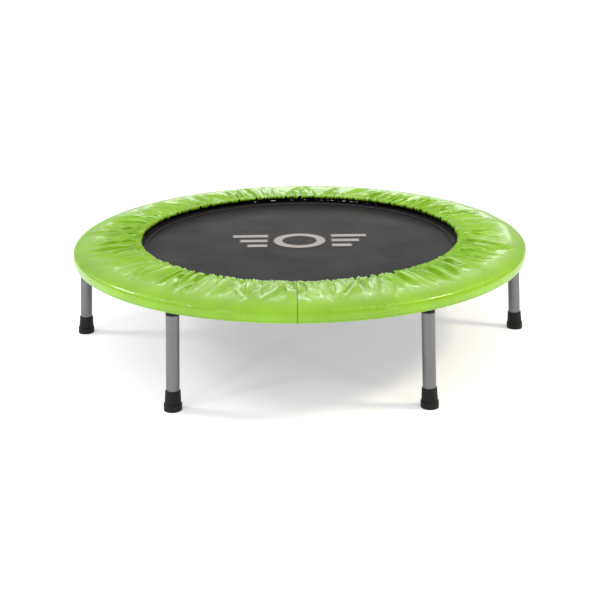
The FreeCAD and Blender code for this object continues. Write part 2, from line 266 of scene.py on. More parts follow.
def vinyl_material(colours, sizes, flat_length, stitch_lines):
    """Glossy coated fabric: fine grain, crinkles across the strip, dark seams and stitched hems."""
    material, tree, shader = new_material("lime_vinyl")
    flat = surface_coordinates(tree, "strip")
    crinkle = noise(tree, surface_coordinates(tree, "strip", (1, 0.2, 1)), 90, detail=7, roughness=0.62)
    grain = noise(tree, flat, 1400, detail=2)
    cloud = noise(tree, flat, 9, detail=3)
    position = node(tree, "ShaderNodeSeparateXYZ")
    tree.links.new(flat, position.inputs["Vector"])
    around, across = position.outputs["X"], position.outputs["Y"]

    panels = maths(tree, "MULTIPLY", around, sizes.seams / flat_length)
    turned = maths(tree, "ADD", panels, 0.5 - sizes.seam_turn / TURN * sizes.seams)
    seam = line_mask(tree, maths(tree, "FRACT", turned, 0), 0.5, 0.0011 * sizes.seams / flat_length)
    dashes = maths(tree, "GREATER_THAN", maths(tree, "FRACT", maths(tree, "MULTIPLY", around, 230), 0), 0.35)
    stitches = 0.0
    for place in stitch_lines:
        stitches = maths(tree, "ADD", line_mask(tree, across, place, 0.0007), stitches)
    stitches = maths(tree, "MULTIPLY", stitches, dashes)
    lines = maths(tree, "MAXIMUM", maths(tree, "MULTIPLY", seam, 0.8), maths(tree, "MULTIPLY", stitches, 0.5))

    cloth = between(tree, spread(tree, cloud, 0, 1), shade(colours.vinyl, 0.88), shade(colours.vinyl, 1.14))
    tone = node(tree, "ShaderNodeMix", data_type="RGBA")
    tone.inputs["B"].default_value = (*shade(colours.vinyl, 0.12), 1)
    tree.links.new(lines, tone.inputs["Factor"])
    tree.links.new(cloth, tone.inputs["A"])
    tree.links.new(tone.outputs["Result"], shader.inputs["Base Color"])
    tree.links.new(spread(tree, cloud, 0.29, 0.38), shader.inputs["Roughness"])
    shader.inputs["Specular IOR Level"].default_value = 0.45
    shader.inputs["Coat Weight"].default_value = 0.3
    shader.inputs["Coat Roughness"].default_value = 0.10
    add_bump(tree, shader, crinkle, 0.006, 0.6)
    add_bump(tree, shader, maths(tree, "SUBTRACT", 1.0, lines), 0.0010, 0.8)
    add_bump(tree, shader, grain, 0.0001, 0.35)
    return material


def woven_material(name, colour, pitch, roughness=0.7, depth=0.0003):
    """Tight plain weave: two sets of ribs at right angles, with slight wear in the colour."""
    material, tree, shader = new_material(name)
    place = surface_coordinates(tree)
    ribs = []
    for direction in ("X", "Y"):
        wave = node(tree, "ShaderNodeTexWave", bands_direction=direction, Scale=TURN / 20 / pitch)
        tree.links.new(place, wave.inputs["Vector"])
        ribs.append(wave.outputs["Fac"])
    weave = maths(tree, "MULTIPLY", ribs[0], ribs[1])
    cloud = noise(tree, place, 9, detail=6, roughness=0.6)
    mixed = maths(tree, "ADD", maths(tree, "MULTIPLY", weave, 0.3), maths(tree, "MULTIPLY", cloud, 0.7))
    tone = between(tree, spread(tree, mixed, 0, 1, (0.2, 0.8)), shade(colour, 0.8), shade(colour, 1.25))
    tree.links.new(tone, shader.inputs["Base Color"])
    tree.links.new(spread(tree, cloud, roughness - 0.06, roughness + 0.06), shader.inputs["Roughness"])
    shader.inputs["Specular IOR Level"].default_value = 0.2
    add_bump(tree, shader, weave, depth)
    return material


def webbing_material(colours):
    """Ribbed black webbing: ribs that run round the mat."""
    material, tree, shader = new_material("black_webbing")
    flat = surface_coordinates(tree, "strip")
    ribs = node(tree, "ShaderNodeTexWave", bands_direction="Y", Scale=TURN / 20 / 0.0016)
    cross = node(tree, "ShaderNodeTexWave", bands_direction="X", Scale=TURN / 20 / 0.0009)
    for wave in (ribs, cross):
        tree.links.new(flat, wave.inputs["Vector"])
    relief = maths(tree, "ADD", ribs.outputs["Fac"], maths(tree, "MULTIPLY", cross.outputs["Fac"], 0.4))
    cloud = noise(tree, flat, 30)
    tone = between(tree, spread(tree, cloud, 0, 1), shade(colours.webbing, 0.8), shade(colours.webbing, 1.5))
    tree.links.new(tone, shader.inputs["Base Color"])
    tree.links.new(spread(tree, cloud, 0.55, 0.7), shader.inputs["Roughness"])
    shader.inputs["Specular IOR Level"].default_value = 0.25
    add_bump(tree, shader, relief, 0.0004)
    return material


def metal_material(name, colour, roughness, metallic=1.0, brushing=0.25):
    """Drawn or plated steel: fine lines along the height, and patchy roughness."""
    material, tree, shader = new_material(name)
    lines = noise(tree, surface_coordinates(tree, "Object", (1, 1, 0.02)), 900, detail=3)
    patches = noise(tree, surface_coordinates(tree), 26, detail=5)
    tone = between(tree, spread(tree, patches, 0, 1), shade(colour, 0.88), shade(colour, 1.08))
    tree.links.new(tone, shader.inputs["Base Color"])
    tree.links.new(spread(tree, patches, roughness - 0.05, roughness + 0.08), shader.inputs["Roughness"])
    shader.inputs["Metallic"].default_value = metallic
    add_bump(tree, shader, lines, 0.00008, brushing)
    return material


def moulded_material(name, colour, roughness, grain=900.0):
    """Moulded rubber or plastic: a matt spark-eroded grain with rubbed patches."""
    material, tree, shader = new_material(name)
    place = surface_coordinates(tree)
    fine = noise(tree, place, grain, detail=3)
    rubbed = noise(tree, place, 60, detail=5)
    tone = between(tree, spread(tree, rubbed, 0, 1), colour, shade(colour, 2.0))
    tree.links.new(tone, shader.inputs["Base Color"])
    tree.links.new(spread(tree, rubbed, roughness - 0.08, roughness + 0.1), shader.inputs["Roughness"])
    shader.inputs["Specular IOR Level"].default_value = 0.25
    add_bump(tree, shader, fine, 0.00012, 0.6)
    return material


def foam_material():
    """Open grey foam with a cellular surface."""
    material, tree, shader = new_material("grey_foam")
    cells = node(tree, "ShaderNodeTexVoronoi", Scale=700.0)
    tree.links.new(surface_coordinates(tree), cells.inputs["Vector"])
    tone = between(tree, cells.outputs["Distance"], (0.32, 0.33, 0.34), (0.5, 0.51, 0.52))
    tree.links.new(tone, shader.inputs["Base Color"])
    shader.inputs["Roughness"].default_value = 0.9
    add_bump(tree, shader, cells.outputs["Distance"], 0.0006)
    return material


def thread_material(name, colour):
    """Twisted sewing thread."""
    material, tree, shader = new_material(name)
    twist = noise(tree, surface_coordinates(tree), 1800, detail=2)
    tone = between(tree, spread(tree, twist, 0, 1), shade(colour, 0.7), shade(colour, 1.3))
    tree.links.new(tone, shader.inputs["Base Color"])
    shader.inputs["Roughness"].default_value = 0.55
    add_bump(tree, shader, twist, 0.0002)
    return material


def ink_material(name, colour):
    """Screen-printed ink, slightly broken by the weave under it."""
    material, tree, shader = new_material(name)
    place = surface_coordinates(tree)
    wear = noise(tree, place, 420, detail=3)
    tone = between(tree, spread(tree, wear, 0, 1), shade(colour, 0.78), colour)
    tree.links.new(tone, shader.inputs["Base Color"])
    tree.links.new(spread(tree, wear, 0.45, 0.6), shader.inputs["Roughness"])
    add_bump(tree, shader, wear, 0.0002)
    return material


# Modelling helpers

def deselect_everything():
    if bpy.context.object and bpy.context.object.mode != "OBJECT":
        bpy.ops.object.mode_set(mode="OBJECT")
    bpy.ops.object.select_all(action="DESELECT")


def make_active(piece):
    deselect_everything()
    piece.select_set(True)
    bpy.context.view_layer.objects.active = piece


def settle(piece):
    """Moves a piece's place into its mesh."""
    make_active(piece)
    bpy.ops.object.transform_apply(location=True, rotation=True, scale=True)


def give(piece, material):
    piece.data.materials.clear()
    piece.data.materials.append(material)


def smooth(piece, degrees=40):
    make_active(piece)
    bpy.ops.object.shade_smooth_by_angle(angle=math.radians(degrees))


def lathe(name, outline, segments, closed=True):
    """A ring of revolution: a circle extruded and scaled along (radius, height) points."""
    deselect_everything()
    radius, height = outline[0]
    bpy.ops.mesh.primitive_circle_add(vertices=segments, radius=radius, location=(0, 0, height))
    piece = bpy.context.object
    piece.name = name
    settle(piece)
    bpy.ops.object.mode_set(mode="EDIT")
    bpy.ops.mesh.select_all(action="SELECT")
    rest = outline[1:] + (outline[:1] if closed else [])
    for next_radius, next_height in rest:
        bpy.ops.mesh.extrude_edges_move()
        scale = next_radius / radius
        bpy.ops.transform.resize(value=(scale, scale, 1))
        bpy.ops.transform.translate(value=(0, 0, next_height - height))
        radius, height = next_radius, next_height
    if closed:
        bpy.ops.mesh.select_all(action="SELECT")
        bpy.ops.mesh.remove_doubles(threshold=1e-6)
        bpy.ops.mesh.normals_make_consistent(inside=False)
    bpy.ops.object.mode_set(mode="OBJECT")
    return piece


def arc_points(centre, radius, start, end, count):
    """(radius, height) points on an arc, from one angle in degrees to another."""
    angles = [math.radians(start + (end - start) * index / (count - 1)) for index in range(count)]
    return [(centre[0] + radius * math.cos(a), centre[1] + radius * math.sin(a)) for a in angles]


def mesh_piece(name, points, faces):
    mesh = bpy.data.meshes.new(name)
    mesh.from_pydata(points, [], faces)
    mesh.update()
    piece = bpy.data.objects.new(name, mesh)
    bpy.context.scene.collection.objects.link(piece)
    return piece


def copies_in_one(name, pattern, places):
    """One mesh with a copy of a pattern piece at each place; the pattern is removed."""
    points = np.array([vertex.co for vertex in pattern.data.vertices])
    faces = [tuple(face.vertices) for face in pattern.data.polygons]
    all_points = []
    all_faces = []
    for index, place in enumerate(places):
        matrix = np.array(place)
        all_points.extend((points @ matrix[:3, :3].T + matrix[:3, 3]).tolist())
        offset = index * len(points)
        all_faces.extend(tuple(corner + offset for corner in face) for face in faces)
    bpy.data.objects.remove(pattern)
    return mesh_piece(name, all_points, all_faces)


def unroll(piece, name, radius):
    """A UV map in metres: round the ring at a radius, and across it along the profile."""
    mesh = piece.data
    layer = mesh.uv_layers.new(name=name)
    points = np.array([vertex.co for vertex in mesh.vertices])
    angle = np.arctan2(points[:, 1], points[:, 0])
    across = np.hypot(points[:, 0], points[:, 1])
    for face in mesh.polygons:
        base = angle[face.vertices[0]]
        for loop in face.loop_indices:
            vertex = mesh.loops[loop].vertex_index
            turn = angle[vertex] - base
            turn -= TURN * round(turn / TURN)
            layer.data[loop].uv = ((base + turn) * radius, across[vertex])


# Padded cover

def smooth_step(value):
    value = np.clip(value, 0, 1)
    return value * value * (3 - 2 * value)


def ring_noise(angle, waves, seed):
    """Smooth periodic noise round the ring, between about -1 and 1."""
    rng = np.random.default_rng(seed)
    total = np.zeros_like(angle)
    for wave in range(1, waves + 1):
        total += rng.normal() * np.sin(wave * angle + rng.uniform(0, TURN))
    return total / math.sqrt(waves)


# Gathers: share of the fold height, width of a ridge, shortest and longest reach, lean
LONG_GATHERS = (0.9, 0.0056, (0.75, 1.2), 0.08)
SHORT_GATHERS = (0.6, 0.0036, (0.35, 0.95), 0.05)
FINE_GATHERS = (0.36, 0.0017, (0.07, 0.24), 0.012)


def fold_layer(angle, reach, count, fold_height, gathers, seed):
    """Heights of radial gathers: a round ridge with a sharp crease on one side of it.

    reach is 0 at the hem and 1 at the ring; the result is rows by columns.
    """
    share, width, ends, lean = gathers
    height = fold_height * share
    rng = np.random.default_rng(seed)
    starts = (np.arange(count) + rng.uniform(-0.42, 0.42, count)) * TURN / count
    lengths = rng.uniform(ends[0], ends[1], count)
    heights = height * rng.uniform(0.45, 1.35, count)
    widths = width * rng.uniform(0.65, 1.4, count)
    leans = lean * ring_noise(starts, 5, seed + 1) + rng.normal(0, lean * 0.6, count)
    bends = rng.normal(0, lean * 0.6, count)
    sides = np.where(rng.uniform(size=count) < 0.5, -1.0, 1.0)
    radius = HEM_RADIUS + (RING_RADIUS - HEM_RADIUS) * reach[:, None]
    total = np.zeros((len(reach), len(angle)))
    every_fold = zip(starts, lengths, heights, widths, leans, bends, sides)
    for start, length, tall, wide, slope, bend, side in every_fold:
        line = start + slope * reach + bend * reach * reach
        distance = (angle[None, :] - line[:, None] + math.pi) % TURN - math.pi
        across = side * distance * radius / (wide * (1 + 0.9 * reach[:, None]))
        ridge = np.where(across > 0, np.exp(-np.abs(across) ** 1.3), np.exp(-np.abs(across * 1.7) ** 2.2))
        crease = np.exp(-np.abs(across + 1.25) * 3.2)
        fade = smooth_step((length - reach) / (0.5 * length))[:, None]
        total += tall * fade * (ridge - 1.05 * crease)
    return total


CREST_START = RING_RADIUS - 0.040    # the cover starts to curve down towards its side here


def crest_points(side, height, count):
    """(radius, height) points over the ring: an upright side that rounds gently into the flat top."""
    points = []
    for index in range(count):
        turn = math.pi / 2 * (1 - index / (count - 1))
        out = math.cos(turn) ** (2 / 2.6)
        up = math.sin(turn) ** (2 / 2.6)
        points.append((CREST_START + (side - CREST_START) * out, RING_HEIGHT + height * up))
    return points


def cover_profile(sizes):
    """Rows of the skin from under the hem, over the top and down the skirt.

    Each row is (radius, height, outward radius, outward height, gather, reach).
    """
    wrap = ELASTIC_RADIUS + sizes.skin
    hem = (HEM_RADIUS, HEM_HEIGHT)
    rows = []
    for step in range(4):
        out = sizes.casing * (1 - step / 4)
        rows.append((HEM_RADIUS + out, HEM_HEIGHT - wrap, 0, -1, 0.35, 0.0))
    for radius, height in arc_points(hem, wrap, 270, 90, 7):
        rows.append((radius, height, (radius - hem[0]) / wrap, (height - hem[1]) / wrap, 1.0, 0.0))
    crest_height = COVER_TOP - RING_HEIGHT - sizes.skin / 2
    count = 25
    for step in range(1, count):
        share = step / count
        radius = HEM_RADIUS + (CREST_START - HEM_RADIUS) * share
        casing = math.exp(-((radius - HEM_RADIUS - sizes.casing) / 0.0028) ** 2)
        rise = RING_HEIGHT + crest_height - HEM_HEIGHT - wrap
        height = HEM_HEIGHT + wrap + rise * share + sizes.dome * math.sin(math.pi * share) - 0.0016 * casing
        reach = (radius - HEM_RADIUS) / (RING_RADIUS - HEM_RADIUS)
        rows.append((radius, height, 0, 1, 1 - 0.45 * casing, reach))
    roll = COVER_RADIUS - RING_RADIUS - sizes.skin / 2
    for radius, height in crest_points(RING_RADIUS + roll, crest_height, 20):
        reach = (radius - HEM_RADIUS) / (RING_RADIUS - HEM_RADIUS)
        tilt = math.atan2(height - RING_HEIGHT, radius - CREST_START)
        rows.append((radius, height, math.cos(tilt), math.sin(tilt), 1.0, reach))
    edge = RING_RADIUS + roll
    tuck = BAND_RADIUS + sizes.skin / 2
    rows.append((edge, RING_HEIGHT - 0.003, 1, 0, 1.0, 1.3))
    rows.append((edge, FOAM_BOTTOM, 1, 0, 1.0, 1.35))
    rows.append((edge - 0.001, (FOAM_BOTTOM + COVER_BOTTOM) / 2, 1, 0, 1.0, 1.4))
    turned_in = ((tuck + BAND_RADIUS - 0.0016) / 2, COVER_BOTTOM + 0.0012)
    for radius, height in arc_points(turned_in, 0.0012, 0, -180, 5):
        rows.append((radius, height, 0, 0, 0, 1.5))
    rows.append((turned_in[0] - 0.0012, BAND_TOP - 0.002, 0, 0, 0, 1.5))
    return np.array(rows)


CREST_SHARE = (CREST_START - HEM_RADIUS) / (RING_RADIUS - HEM_RADIUS)
FOAM_SLACK = 0.0030    # the foam is this much thinner than the space under the skin
FOAM_SINK = 0.0028     # its top sits this much lower again at the hem, under the deepest creases


def gathered_skin(sizes):
    """The vinyl strip, gathered at the hem, smooth over the ring."""
    rows = cover_profile(sizes)
    angle = np.arange(sizes.columns) * TURN / sizes.columns
    reach = np.clip(rows[:, 5], 0, 1.5)
    height = sizes.fold_height
    folds = fold_layer(angle, reach, sizes.long_folds, height, LONG_GATHERS, sizes.seed)
    folds += fold_layer(angle, reach, sizes.short_folds, height, SHORT_GATHERS, sizes.seed + 10)
    folds *= (0.25 + 0.75 * smooth_step(reach / 0.16))[:, None]
    folds += fold_layer(angle, reach, sizes.fine_folds, height, FINE_GATHERS, sizes.seed + 20)
    folds -= folds.mean(axis=1, keepdims=True)
    tallest = 1.2 * height
    folds = np.where(folds > 0, tallest * np.tanh(folds / tallest), folds)
    lowest = -(FOAM_SINK * (1 - np.clip(reach / CREST_SHARE, 0, 1)) + FOAM_SLACK - 0.0006)[:, None]
    folds = np.maximum(folds, lowest)
    dents = ring_noise(angle, 40, sizes.seed + 30)[None, :] * 0.00022 * smooth_step(reach)[:, None]
    offset = folds * rows[:, 4][:, None] + dents * (rows[:, 4][:, None] > 0)
    radius = rows[:, 0][:, None] + rows[:, 2][:, None] * offset
    level = rows[:, 1][:, None] + rows[:, 3][:, None] * offset
    twist = 0.55 * folds / HEM_RADIUS * np.sign(ring_noise(angle, 7, sizes.seed + 40))[None, :]
    around = angle[None, :] + twist * rows[:, 4][:, None] * (reach < 1)[:, None]
    points = np.stack([radius * np.cos(around), radius * np.sin(around), level], axis=-1)
    return rows, points


def grid_faces(rows, columns):
    """Faces of a grid of rows that closes round the ring."""
    faces = []
    for row in range(rows - 1):
        for column in range(columns):
            right = (column + 1) % columns
            faces.append((row * columns + column, (row + 1) * columns + column,
                          (row + 1) * columns + right, row * columns + right))
    return faces


def make_cover(sizes, colours):
    rows, points = gathered_skin(sizes)
    faces = grid_faces(len(rows), sizes.columns)
    piece = mesh_piece("vinyl_cover", points.reshape(-1, 3).tolist(), faces)
    steps = np.hypot(np.diff(rows[:, 0]), np.diff(rows[:, 1]))
    along = np.concatenate([[0], np.cumsum(steps)])
    layer = piece.data.uv_layers.new(name="strip")
    flat_length = TURN * COVER_RADIUS
    corners = np.empty(len(piece.data.loops), int)
    piece.data.loops.foreach_get("vertex_index", corners)
    row, column = corners // sizes.columns, (corners % sizes.columns).astype(float)
    per_face = column.reshape(-1, 4)
    per_face[(per_face.max(axis=1) - per_face.min(axis=1)) > 1, 2:] = sizes.columns
    flat = np.stack([per_face.reshape(-1) / sizes.columns * flat_length, along[row]], axis=-1)
    layer.data.foreach_set("uv", flat.astype(np.float32).reshape(-1))
    piece.data.polygons.foreach_set("use_smooth", [True] * len(piece.data.polygons))
    casing = int(np.argmin(np.abs(rows[:, 0] - HEM_RADIUS - sizes.casing) + (rows[:, 5] <= 0)))
    skirt = int(np.argmin(np.abs(rows[:, 1] - COVER_BOTTOM - 0.004) + (rows[:, 3] != 0) + (rows[:, 2] < 1)))
    stitch_lines = (float(along[casing]), float(along[skirt]))
    give(piece, vinyl_material(colours, sizes, flat_length, stitch_lines))
    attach(piece, "frame")
    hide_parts("cover_top")
    return piece


def make_foam(sizes):
    """The foam ring under the skin, a little slimmer than the space that it fills."""
    low, high = BACKING_HIGH + 0.0004, FOAM_TOP - FOAM_SLACK
    inside = HEM_RADIUS + sizes.casing + 0.002
    hug = TUBE_RADIUS + 0.0006
    around_tube = FOAM_TOP - RING_HEIGHT - FOAM_SLACK
    start = 180 - math.degrees(math.asin((low - RING_HEIGHT) / hug))
    centre = (RING_RADIUS, RING_HEIGHT)
    outline = [(inside + 0.001, low), (inside, low + 0.001), (inside + 0.002, high - FOAM_SINK)]
    outline += crest_points(RING_RADIUS + around_tube, around_tube, 14)
    outline += [(RING_RADIUS + around_tube - 0.001, FOAM_BOTTOM), (RING_RADIUS + hug + 0.001, FOAM_BOTTOM)]
    outline += arc_points(centre, hug, 0, start, 9)
    piece = lathe("foam_ring", outline, 240)
    smooth(piece)
    give(piece, foam_material())
    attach(piece, "frame")
    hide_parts("foam_pad", "foam_roll")
    return piece


def make_backing(sizes, colours):
    """Thin black cloth under the foam: gathered into a low roll at the hem, and flat further out."""
    line = [(0.0030, -0.0000), (0.0045, -0.0030), (0.0070, -0.0062), (0.0105, -0.0081), (0.0150, -0.0082),
            (0.0200, -0.0068), (0.0260, -0.0047), (0.0330, -0.0035)]
    inner = HEM_RADIUS + line[0][0]
    level = HEM_HEIGHT - ELASTIC_RADIUS - sizes.skin - 0.0006
    outline = [(HEM_RADIUS + out, level + drop) for out, drop in line]
    outline += [(radius, BACKING_LOW) for radius in np.linspace(HEM_RADIUS + 0.042, BACKING_RADIUS, 8)]
    piece = lathe("cover_backing", outline, 720, closed=False)
    spots = np.array([vertex.co for vertex in piece.data.vertices])
    angle = np.arctan2(spots[:, 1], spots[:, 0])
    out = np.hypot(spots[:, 0], spots[:, 1]) - inner
    near = np.exp(-(out - 0.008) ** 2 / 0.009 ** 2) * smooth_step(out / 0.003)
    wave = np.sin(130 * angle + 4 * np.sin(9 * angle)) + 0.7 * np.sin(61 * angle + 3 * np.sin(5 * angle))
    lift = 0.00035 * wave * near + 0.0005 * near * ring_noise(angle, 14, sizes.seed + 50)
    for vertex, rise in zip(piece.data.vertices, lift):
        vertex.co.z += rise
    smooth(piece)
    give(piece, woven_material("black_backing", colours.webbing, 0.0012, 0.85, 0.0002))
    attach(piece, "frame")
    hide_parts("cover_lining")
    return piece


# Jumping mat

def make_mat(colours):
    """Woven disc, dipping a hair in the middle."""
    middle = (MAT_LOW + MAT_HIGH) / 2
    count = 24
    outline = []
    for step in range(count):
        radius = MAT_RADIUS * (1 - step / count)
        outline.append((radius, middle - 0.0004 * (1 - (radius / MAT_RADIUS) ** 2)))
    piece = lathe("jumping_mat", outline, 288, closed=False)
    bpy.ops.object.mode_set(mode="EDIT")
    bpy.ops.mesh.merge(type="CENTER")
    bpy.ops.mesh.select_all(action="SELECT")
    bpy.ops.mesh.normals_make_consistent(inside=False)
    bpy.ops.object.mode_set(mode="OBJECT")
    solid = piece.modifiers.new("thickness", "SOLIDIFY")
    solid.thickness = MAT_HIGH - MAT_LOW
    solid.offset = 0
    make_active(piece)
    bpy.ops.object.modifier_apply(modifier=solid.name)
    smooth(piece)
    give(piece, woven_material("woven_mat", colours.mat, 0.0022, 0.62))
    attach(piece, "mat")
    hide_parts("mat")
    return piece


def make_band(sizes, colours):
    """Webbing folded round the mat's edge."""
    inner = WEBBING_RADIUS - sizes.band_width
    slot = (MAT_HIGH - MAT_LOW) / 2 + 0.0001
    face = slot + sizes.band_layer
    bevel = 0.0003
    fold = MAT_RADIUS + 0.0004
    nose = 0.0032
    centre = (WEBBING_RADIUS - nose, RING_HEIGHT)
    shoulder = math.degrees(math.asin(face / nose))
    outline = [(inner, RING_HEIGHT + slot), (inner, RING_HEIGHT + face - bevel)]
    outline.append((inner + 2 * bevel, RING_HEIGHT + face))
    outline += [(inner + sizes.band_width * share, RING_HEIGHT + face) for share in (0.3, 0.5, 0.7)]
    outline += arc_points(centre, nose, shoulder, -shoulder, 9)
    outline += [(inner + sizes.band_width * share, RING_HEIGHT - face) for share in (0.7, 0.5, 0.3)]
    outline += [(inner + 2 * bevel, RING_HEIGHT - face), (inner, RING_HEIGHT - face + bevel)]
    outline += [(inner, RING_HEIGHT - slot), (fold, RING_HEIGHT - slot), (fold, RING_HEIGHT + slot)]
    piece = lathe("mat_band", outline, 720)
    smooth(piece, 50)
    unroll(piece, "strip", MAT_RADIUS)
    give(piece, webbing_material(colours))
    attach(piece, "mat")
    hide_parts("mat_webbing")
    return piece


def stitch_pattern(length, thread):
    """One stitch: a short round thread whose ends go into the cloth, along Y."""
    deselect_everything()
    bpy.ops.mesh.primitive_uv_sphere_add(segments=8, ring_count=6, radius=1)
    pattern = bpy.context.object
    pattern.scale = (thread, length / 2, thread)
    settle(pattern)
    return pattern


def stitch_ring(name, radius, height, length, thread, material, body):
    """A ring of stitches on a flat band."""
    pattern = stitch_pattern(length * 0.8, thread)
    count = int(TURN * radius / length)
    places = []
    for index in range(count):
        turn = Matrix.Rotation(TURN * index / count, 4, "Z")
        places.append(turn @ Matrix.Translation((radius, 0, height)))
    piece = copies_in_one(name, pattern, places)
    smooth(piece, 80)
    give(piece, material)
    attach(piece, body)
    return piece


def print_outline(width):
    """Bars of a plain mark, in two stacks beside its ring: (x, y, size x, size y)."""
    bar = width * 0.062
    bars = []
    for side in (-1, 1):
        for level, share in enumerate((0.26, 0.20, 0.14)):
            length = width * share
            y = (1 - level) * bar * 2.1
            bars.append((side * (width * 0.24 + length / 2), y, length, bar))
    return bars


def make_print(sizes, colours):
    """A plain ring and bars, printed in warm grey over a slightly larger black outline."""
    ink = ink_material("grey_ink", colours.ink)
    outline_ink = ink_material("black_ink", colours.black)
    for name, grow, lift, material in (("mat_print_outline", 0.003, 0.00012, outline_ink),
                                       ("mat_print", 0.0, 0.00022, ink)):
        height = MAT_HIGH + lift
        parts = []
        deselect_everything()
        for x, y, length, depth in print_outline(sizes.print_width):
            bpy.ops.mesh.primitive_plane_add(size=1, location=(x, y, height))
            plane = bpy.context.object
            plane.scale = (length + 2 * grow, depth + 2 * grow, 1)
            settle(plane)
            parts.append(plane)
        radius = sizes.print_width * 0.19
        band = sizes.print_width * 0.06
        bpy.ops.mesh.primitive_circle_add(vertices=96, radius=radius + grow, location=(0, 0, height))
        ring = bpy.context.object
        settle(ring)
        bpy.ops.object.mode_set(mode="EDIT")
        bpy.ops.mesh.select_all(action="SELECT")
        bpy.ops.mesh.extrude_edges_move()
        inner = (radius - band - grow) / (radius + grow)
        bpy.ops.transform.resize(value=(inner, inner, 1))
        bpy.ops.mesh.select_all(action="SELECT")
        bpy.ops.mesh.normals_make_consistent(inside=False)
        bpy.ops.object.mode_set(mode="OBJECT")
        parts.append(ring)
        make_active(ring)
        for part in parts:
            part.select_set(True)
        bpy.ops.object.join()
        ring.name = name
        solid = ring.modifiers.new("ink", "SOLIDIFY")
        solid.thickness = 0.00008
        bpy.ops.object.modifier_apply(modifier=solid.name)
        give(ring, material)
        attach(ring, "mat")


# Springs

def spring_path(sizes):
    """Centreline of one spring's wire along +X: open hook, coil, and the end bent into the tube."""
    def at(x, up, across=0.0):
        return (x, across, RING_HEIGHT + up)

    coil = sizes.coil
    hook = sizes.seat + coil
    points = [at(hook + x, z) for x, z in arc_points((0, 0), coil, -60, -270, 16)]
    start = hook + sizes.lead
    length = sizes.pitch * sizes.turns
    steps = sizes.turns * 12
    for step in range(steps + 1):
        share = step / steps
        angle = TURN * sizes.turns * share
        points.append(at(start + length * share, coil * math.cos(angle), -coil * math.sin(angle)))
    end = start + length
    bend = coil / 2
    past_coil = end + 0.0006
    points += [at(x, z) for x, z in arc_points((past_coil, bend), bend, 80, 0, 5)]
    points += [at(x, z) for x, z in arc_points((past_coil + 2 * bend, bend), bend, 200, 270, 5)]
    tube_wall = 0.0015
    inside_tube = RING_RADIUS - TUBE_RADIUS + tube_wall
    tail = (inside_tube + sizes.wire / 2, -sizes.tail_bend)
    points += [at(x, z) for x, z in arc_points(tail, sizes.tail_bend, 90, 0, 7)]
    points.append(at(tail[0] + sizes.tail_bend, tail[1] - sizes.tail_drop))
    return points


def make_springs(sizes, colours):
    """One copy of the wire for each spring, set round the mat between the ring and the mat."""
    path = spring_path(sizes)
    curve = bpy.data.curves.new("spring_wire", "CURVE")
    curve.dimensions = "3D"
    curve.bevel_depth = sizes.wire
    curve.bevel_resolution = 1
    curve.use_fill_caps = True
    spline = curve.splines.new("POLY")
    spline.points.add(len(path) - 1)
    for control, place in zip(spline.points, path):
        control.co = (*place, 1)
    pattern = bpy.data.objects.new("spring_wire", curve)
    bpy.context.scene.collection.objects.link(pattern)
    make_active(pattern)
    bpy.ops.object.convert(target="MESH")
    pattern = bpy.context.object
    smooth(pattern, 60)
    material = metal_material("spring_zinc", colours.zinc, 0.3, brushing=0.1)
    give(pattern, material)
    group_size = sizes.count // 6
    for index in range(sizes.count):
        turn = Matrix.Rotation(TURN * (index + 0.5) / sizes.count, 4, "Z")
        mesh = pattern.data.copy()
        mesh.transform(turn)
        piece = bpy.data.objects.new(f"spring_{index + 1:02d}", mesh)
        bpy.context.scene.collection.objects.link(piece)
        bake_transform(piece)
        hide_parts(f"springs_{index // group_size + 1}")
    bpy.data.objects.remove(pattern)


# Finishes of the frame's own parts

def finish_nodes(prefix, material):
    for name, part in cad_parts.items():
        if name.startswith(prefix):
            for slot in part.material_slots:
                slot.material = material


# Stage

